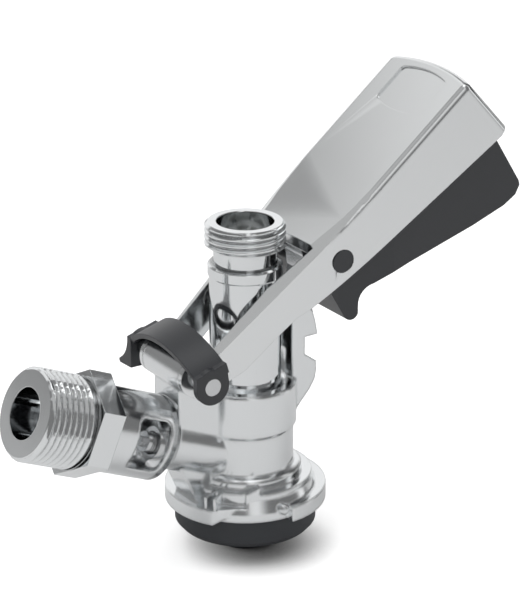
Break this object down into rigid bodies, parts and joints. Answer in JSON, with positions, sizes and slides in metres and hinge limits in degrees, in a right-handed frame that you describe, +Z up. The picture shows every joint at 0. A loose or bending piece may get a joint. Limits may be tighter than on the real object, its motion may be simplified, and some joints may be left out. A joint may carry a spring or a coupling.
{
  "type": "keg coupler",
  "caption": "Lever-operated keg coupler: a bayonet body with an inclined gas inlet and relief valve, a sliding beer probe, a lever handle and a spring trigger.",
  "frame": {"origin": "on the probe axis, at the bottom face of the raised probe's tip", "axes": "+Z up the probe towards the beer outlet, +X towards the lever's grip, so the gas inlet points towards -X and the hinge runs along Y"},
  "size_m": [0.16, 0.047, 0.1329],
  "materials": {
    "chrome": "bright chrome plate over a metal casting; the lever's cover is a little satin",
    "steel": "turned stainless steel",
    "bearing_plastic": "natural acetal",
    "rubber": "black food-grade rubber, smooth",
    "black_plastic": "moulded dark grey plastic, fine satin"
  },
  "bodies": {
    "body": {"coupler_body": "chrome", "keg_seal": "rubber", "body_oring_1": "rubber", "body_oring_2": "rubber", "gas_inlet_adapter": "chrome", "inlet_gasket": "rubber", "gas_check_valve": "rubber", "check_valve_retainer": "steel", "relief_valve_body": "steel", "relief_spring": "steel", "hinge_pin": "steel", "hinge_spacer_near": "steel", "hinge_spacer_far": "steel"},
    "lever": {"lever_handle": "chrome"},
    "trigger": {"trigger_grip": "black_plastic", "trigger_hook": "steel", "trigger_pivot_pin": "black_plastic", "trigger_spring": "steel"},
    "clip": {"hinge_clip": "black_plastic"},
    "probe": {"probe_tube": "chrome", "probe_tip_seal": "rubber", "trunnion_pin_near": "steel", "trunnion_pin_far": "steel", "trunnion_roller_near": "bearing_plastic", "trunnion_roller_far": "bearing_plastic", "ball_retainer": "bearing_plastic"},
    "ball": {"check_ball": "steel"},
    "relief": {"relief_stem": "steel"}
  },
  "joints": [
    {"name": "lever_swing", "type": "hinge", "parent": "body", "child": "lever", "pos_m": [-0.0225, 0, 0.0592], "axis": [0, 1, 0], "range_deg": [0, 25]},
    {"name": "probe_slide", "type": "slide", "parent": "body", "child": "probe", "axis": [0, 0, 1], "range_m": [-0.0116, 0]},
    {"name": "trigger_squeeze", "type": "hinge", "parent": "lever", "child": "trigger", "pos_m": [0.0211, 0, 0.0869], "axis": [0, 1, 0], "range_deg": [-12, 8.5], "stiffness_Nm_per_rad": 0.5, "deforming": ["trigger_spring"]},
    {"name": "clip_swing", "type": "hinge", "parent": "body", "child": "clip", "pos_m": [-0.0225, 0, 0.0592], "axis": [0, 1, 0], "range_deg": [-60, 0]},
    {"name": "relief_push", "type": "slide", "parent": "body", "child": "relief", "axis": [0.9219, 0, -0.3875], "range_m": [0, 0.0015], "stiffness_N_per_m": 900, "deforming": ["relief_spring"]},
    {"name": "ball_lift", "type": "slide", "parent": "probe", "child": "ball", "axis": [0, 0, 1], "range_m": [0, 0.005]}
  ],
  "couplings": [
    {"joint": "probe_slide", "follows": "lever_swing", "m_per_rad": -0.026585}
  ]
}
